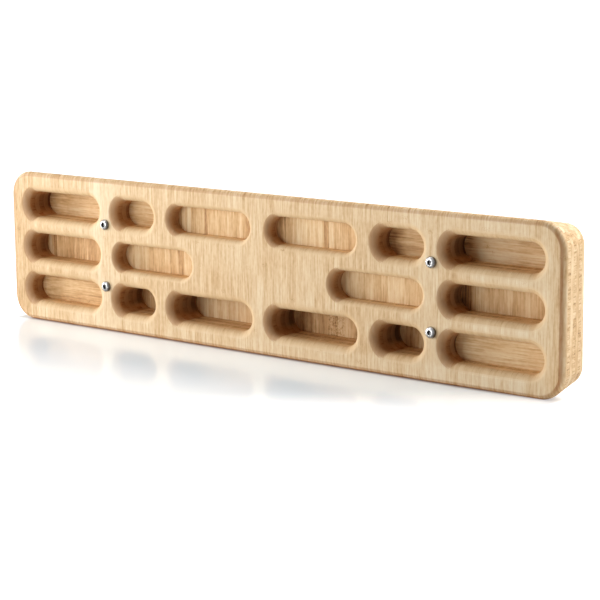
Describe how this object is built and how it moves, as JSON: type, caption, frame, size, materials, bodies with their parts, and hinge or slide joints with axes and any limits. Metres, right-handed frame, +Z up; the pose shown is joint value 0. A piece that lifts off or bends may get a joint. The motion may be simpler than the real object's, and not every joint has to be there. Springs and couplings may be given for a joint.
{
  "type": "hangboard",
  "caption": "Wall-mounted finger board for climbing practice: a cross-laminated bamboo block with rounded, graded finger pockets and button-head screws.",
  "frame": {"origin": "middle of the back face, where the board meets the wall", "axes": "+X along the board, +Y out of the back face towards the wall, +Z up; the pockets face -Y"},
  "size_m": [0.655, 0.0453, 0.15],
  "materials": {
    "bamboo_upright": "sanded, lightly oiled",
    "bamboo_lengthwise": "sanded, lightly oiled",
    "steel": "polished"
  },
  "bodies": {
    "root": {"ply_1": "bamboo_upright", "ply_2": "bamboo_lengthwise", "ply_3": "bamboo_upright", "ply_4": "bamboo_lengthwise", "ply_5": "bamboo_upright", "ply_6": "bamboo_lengthwise", "ply_7": "bamboo_upright", "screw_upper_left": "steel", "screw_upper_right": "steel", "screw_lower_left": "steel", "screw_lower_right": "steel"}
  },
  "joints": []
}
